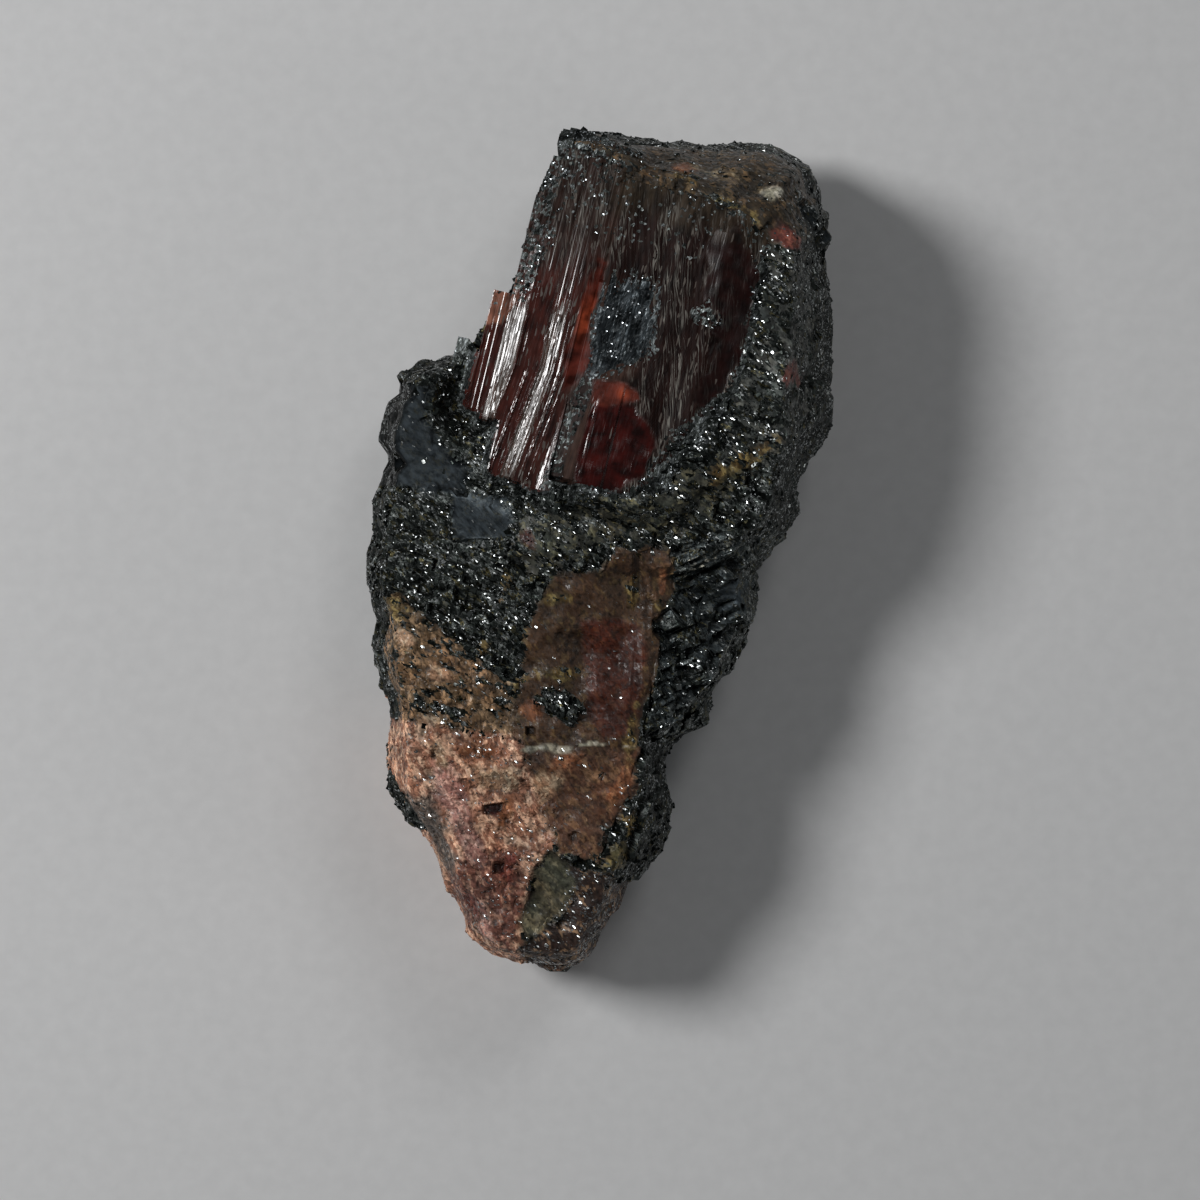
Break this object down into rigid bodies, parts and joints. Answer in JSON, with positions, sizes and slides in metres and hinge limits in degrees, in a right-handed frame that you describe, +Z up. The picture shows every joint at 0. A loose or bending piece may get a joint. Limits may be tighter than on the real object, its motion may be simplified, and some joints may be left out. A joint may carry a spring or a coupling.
{
  "type": "rhodonite specimen",
  "caption": "Rhodonite crystal specimen: a striated deep red crystal set in a broken block of dark galena that grades into a pink and brown granular foot, resting on its back.",
  "frame": {"origin": "middle of the specimen's bounding box, on the surface that it rests on", "axes": "+Y along its length from the narrow foot to the crystal end, +X across it, +Z up out of the front face"},
  "size_m": [0.0558, 0.1006, 0.031],
  "materials": {
    "galena": "dark silvery broken galena, with pink, brown and olive granular stone at the foot",
    "rhodonite": "glassy deep red crystal with striated faces, frosted in part"
  },
  "bodies": {
    "root": {"galena_matrix": "galena", "rhodonite_crystal": "rhodonite"}
  },
  "joints": []
}
